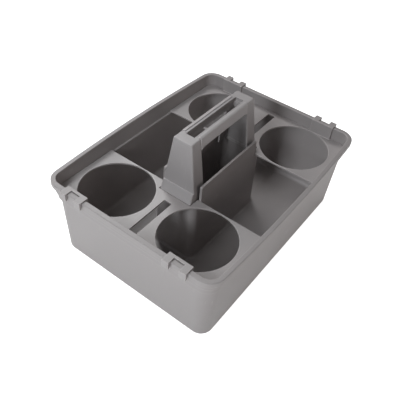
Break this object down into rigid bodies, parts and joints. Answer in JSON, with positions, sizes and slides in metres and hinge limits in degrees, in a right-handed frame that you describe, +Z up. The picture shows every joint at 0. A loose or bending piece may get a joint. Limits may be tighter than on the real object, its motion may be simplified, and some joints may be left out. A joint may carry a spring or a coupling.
{
  "type": "tool storage caddy",
  "caption": "Open carrying caddy: moulded tub with a central well and an upright handle, and lift-out plates with round bottle holes that clip over the rim.",
  "frame": {"origin": "middle of the underside of the tub, on the table", "axes": "+X along the handle towards the rear insert, +Y across the handle, +Z up"},
  "size_m": [0.4096, 0.309, 0.2122],
  "materials": {
    "tub_plastic": "fine spark-eroded texture, warm mid grey",
    "handle_plastic": "satin, warm mid grey",
    "cover_plastic": "satin, warm mid grey",
    "insert_plastic": "satin, warm mid grey"
  },
  "bodies": {
    "caddy": {"tub": "tub_plastic", "handle": "handle_plastic", "grip_cover_near": "cover_plastic", "grip_cover_far": "cover_plastic"},
    "front_insert": {"insert_front": "insert_plastic"},
    "rear_insert": {"insert_rear": "insert_plastic"}
  },
  "joints": [
    {"name": "front_insert_lift", "type": "slide", "parent": "caddy", "child": "front_insert", "axis": [0, 0, 1], "range_m": [0, 0.12]},
    {"name": "rear_insert_lift", "type": "slide", "parent": "caddy", "child": "rear_insert", "axis": [0, 0, 1], "range_m": [0, 0.12]}
  ]
}
